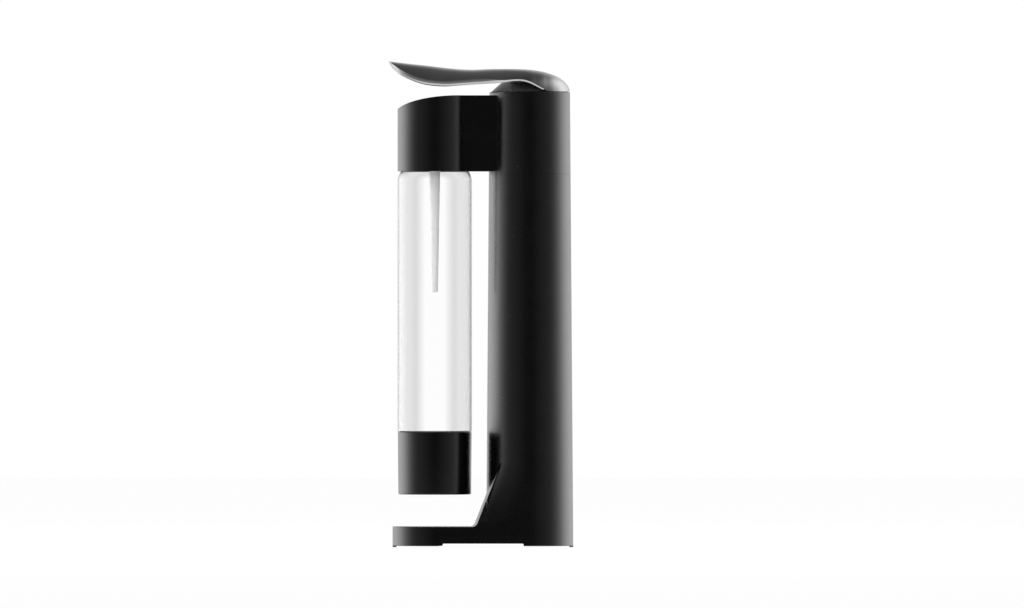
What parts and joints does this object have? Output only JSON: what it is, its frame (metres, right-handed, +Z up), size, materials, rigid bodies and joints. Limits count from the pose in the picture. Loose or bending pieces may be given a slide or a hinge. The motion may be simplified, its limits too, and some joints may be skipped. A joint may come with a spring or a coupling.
{
  "type": "soda carbonator",
  "caption": "Slim countertop soda carbonator: round gas column, cantilevered head with a nozzle, press lever on top and a removable clear bottle.",
  "frame": {"origin": "middle of the object's box, on the table", "axes": "+Z up, -X towards the front of the machine, where the lever and the head point"},
  "size_m": [0.1634, 0.0772, 0.4299],
  "materials": {
    "housing_satin_black": "satin moulded plastic",
    "head_gloss_black": "polished moulded plastic",
    "inner_black": "plain moulded plastic",
    "white_plastic": "plain moulded plastic",
    "bottle_clear": "clear blown plastic",
    "nozzle_frosted": "translucent moulded plastic",
    "lever_metal": "dark satin plated die casting",
    "steel": "zinc plated steel",
    "brass": "turned brass",
    "rubber": "soft black rubber",
    "gas_cylinder_paint": "painted steel"
  },
  "bodies": {
    "stand": {"main_housing": "housing_satin_black", "upper_housing": "housing_satin_black", "front_foot": "rubber", "rear_foot": "rubber", "bottom_plate": "inner_black", "cylinder_guide": "inner_black", "valve_block": "brass", "valve_seal": "rubber", "valve_bracket": "steel", "rod_o_ring": "rubber", "rod_spring": "steel", "top_cap": "head_gloss_black", "lever_pin": "steel", "head_housing": "head_gloss_black", "head_underplate": "inner_black", "bottle_collar": "inner_black", "nozzle_holder": "white_plastic", "nozzle_tube": "nozzle_frosted", "bottle_seal": "rubber", "chassis_frame": "steel", "relief_body": "brass", "relief_spring": "steel", "relief_cap": "brass", "gas_line": "nozzle_frosted", "rear_fitting": "brass", "front_fitting": "brass", "base_screw_1": "steel", "base_screw_2": "steel", "base_screw_3": "steel", "base_screw_4": "steel", "bracket_screw_1": "steel", "bracket_screw_2": "steel", "bracket_screw_3": "steel", "cap_screw_1": "steel", "cap_screw_2": "steel", "frame_screw_1": "steel", "frame_screw_2": "steel", "collar_screw_1": "steel", "collar_screw_2": "steel", "collar_screw_3": "steel"},
    "lever": {"lever_shell": "lever_metal", "lever_hub": "inner_black"},
    "press_rod": {"press_rod": "white_plastic"},
    "gas_cylinder": {"co2_cylinder": "gas_cylinder_paint", "cylinder_valve": "brass"},
    "valve_pin": {"valve_pin": "steel"},
    "hatch": {"cylinder_hatch": "inner_black", "hatch_pad": "rubber"},
    "bottle": {"bottle_body": "bottle_clear", "bottle_base_cup": "head_gloss_black"},
    "relief_poppet": {"relief_poppet": "rubber"}
  },
  "joints": [
    {"name": "lever_press", "type": "hinge", "parent": "stand", "child": "lever", "pos_m": [0.06, 0, 0.4055], "axis": [0, -1, 0], "range_deg": [0, 5], "stiffness_Nm_per_rad": 2, "springref_deg": -6.88},
    {"name": "rod_slide", "type": "slide", "parent": "stand", "child": "press_rod", "axis": [0, 0, -1], "range_m": [0, 0.0015], "deforming": ["rod_spring"]},
    {"name": "cylinder_unscrew", "type": "hinge", "parent": "stand", "child": "gas_cylinder", "pos_m": [0.0432, 0, 0.35], "axis": [0, 0, 1], "range_deg": [0, 360]},
    {"name": "valve_pin_slide", "type": "slide", "parent": "gas_cylinder", "child": "valve_pin", "axis": [0, 0, -1], "range_m": [0, 0.0015]},
    {"name": "hatch_twist", "type": "hinge", "parent": "stand", "child": "hatch", "pos_m": [0.0432, 0, 0.0055], "axis": [0, 0, -1], "range_deg": [0, 60]},
    {"name": "bottle_twist", "type": "hinge", "parent": "stand", "child": "bottle", "pos_m": [-0.0409, 0, 0.34], "axis": [0, 0, -1], "range_deg": [0, 60]},
    {"name": "relief_lift", "type": "slide", "parent": "stand", "child": "relief_poppet", "axis": [0, 0, 1], "range_m": [0, 0.002], "stiffness_N_per_m": 800, "springref_m": -0.004, "deforming": ["relief_spring"]}
  ],
  "couplings": [
    {"joint": "rod_slide", "follows": "lever_press", "m_per_rad": 0.0168},
    {"joint": "valve_pin_slide", "follows": "lever_press", "m_per_rad": 0.0168}
  ]
}
